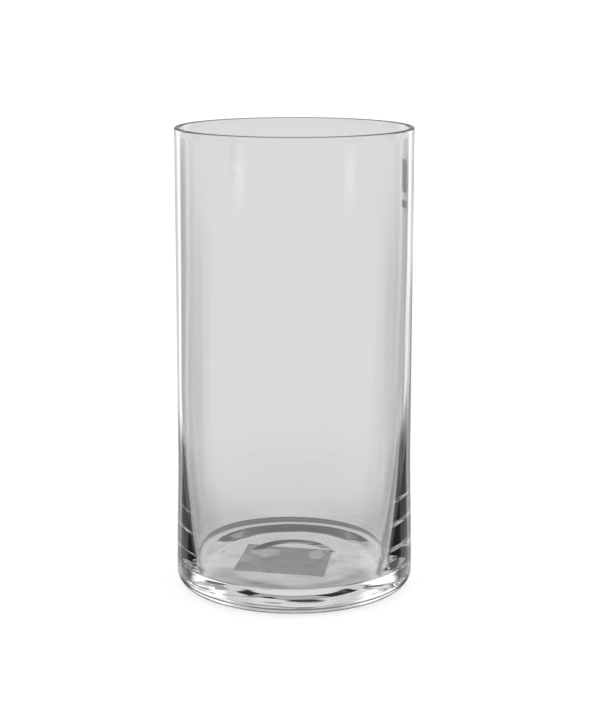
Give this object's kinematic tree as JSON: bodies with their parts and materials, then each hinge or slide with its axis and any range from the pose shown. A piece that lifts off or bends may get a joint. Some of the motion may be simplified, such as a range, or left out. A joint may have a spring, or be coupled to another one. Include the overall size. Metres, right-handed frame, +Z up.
{
  "type": "glass cylinder vase",
  "caption": "Straight-sided clear glass vase with a thick base, a fire-polished rim, a paper label under the base and a small clear label near the rim.",
  "frame": {"origin": "centre of the flat ring that the vase stands on, at the level of the surface under it", "axes": "+Z up along the vase's axis, towards the mouth; the side label faces roughly +X"},
  "size_m": [0.1034, 0.1034, 0.2],
  "materials": {
    "clear_glass": "clear, fire-polished, faintly wavy",
    "label_paper": "uncoated white paper, adhesive side up",
    "label_film": "clear glossy film",
    "label_ink": "matte dark grey ink"
  },
  "bodies": {
    "root": {"glass_vessel": "clear_glass", "base_label": "label_paper", "side_label": "label_film", "side_label_print": "label_ink"}
  },
  "joints": []
}
